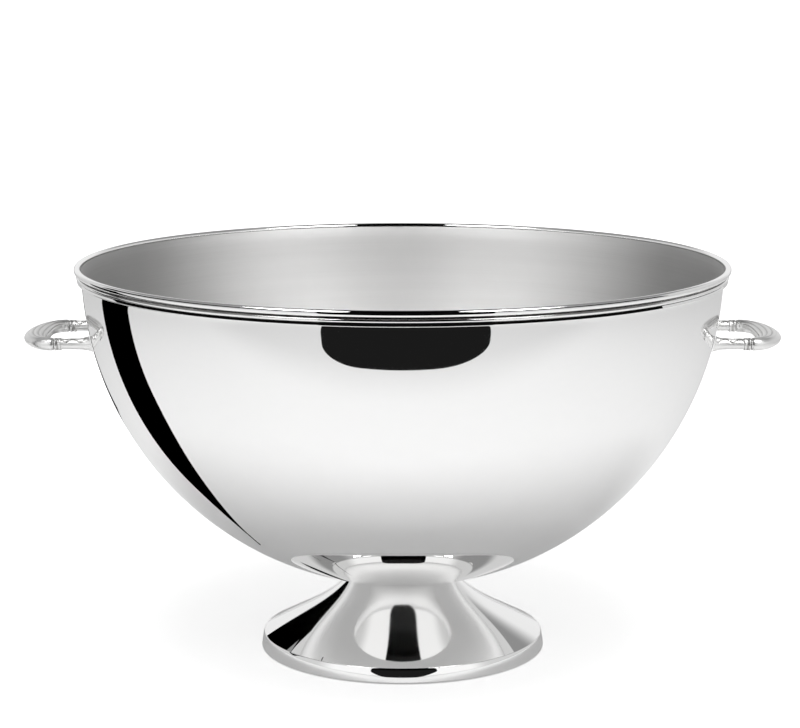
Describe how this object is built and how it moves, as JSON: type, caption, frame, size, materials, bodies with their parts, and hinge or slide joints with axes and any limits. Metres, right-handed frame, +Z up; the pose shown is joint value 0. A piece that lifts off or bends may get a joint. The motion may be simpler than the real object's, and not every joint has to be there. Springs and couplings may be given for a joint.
{
  "type": "champagne bucket",
  "caption": "Wide half-round silver champagne bowl with a reeded rim, a flared hollow foot and a fixed reeded loop handle on each side.",
  "frame": {"origin": "centre of the foot's resting face, at the bottom of the bounding box", "axes": "+Z up along the axis of the bowl, +X towards the right handle, -Y towards the viewer"},
  "size_m": [0.4648, 0.4, 0.242],
  "materials": {
    "bowl_silver": "mirror polish outside, satin turned finish inside",
    "rim_silver": "mirror polish",
    "foot_silver": "mirror polish",
    "handle_silver": "polished casting, slightly soft in the grooves",
    "fixing_brass": "turned, unplated"
  },
  "bodies": {
    "root": {"bowl_shell": "bowl_silver", "rim_lip_bead": "rim_silver", "rim_upper_reed": "rim_silver", "rim_lower_reed": "rim_silver", "foot_shell": "foot_silver", "foot_edge_bead": "foot_silver", "foot_stud": "fixing_brass", "foot_washer": "fixing_brass", "foot_nut": "fixing_brass", "left_handle_bail": "handle_silver", "left_handle_front_arm": "handle_silver", "left_handle_rear_arm": "handle_silver", "left_handle_front_collar": "handle_silver", "left_handle_rear_collar": "handle_silver", "right_handle_bail": "handle_silver", "right_handle_front_arm": "handle_silver", "right_handle_rear_arm": "handle_silver", "right_handle_front_collar": "handle_silver", "right_handle_rear_collar": "handle_silver"}
  },
  "joints": []
}
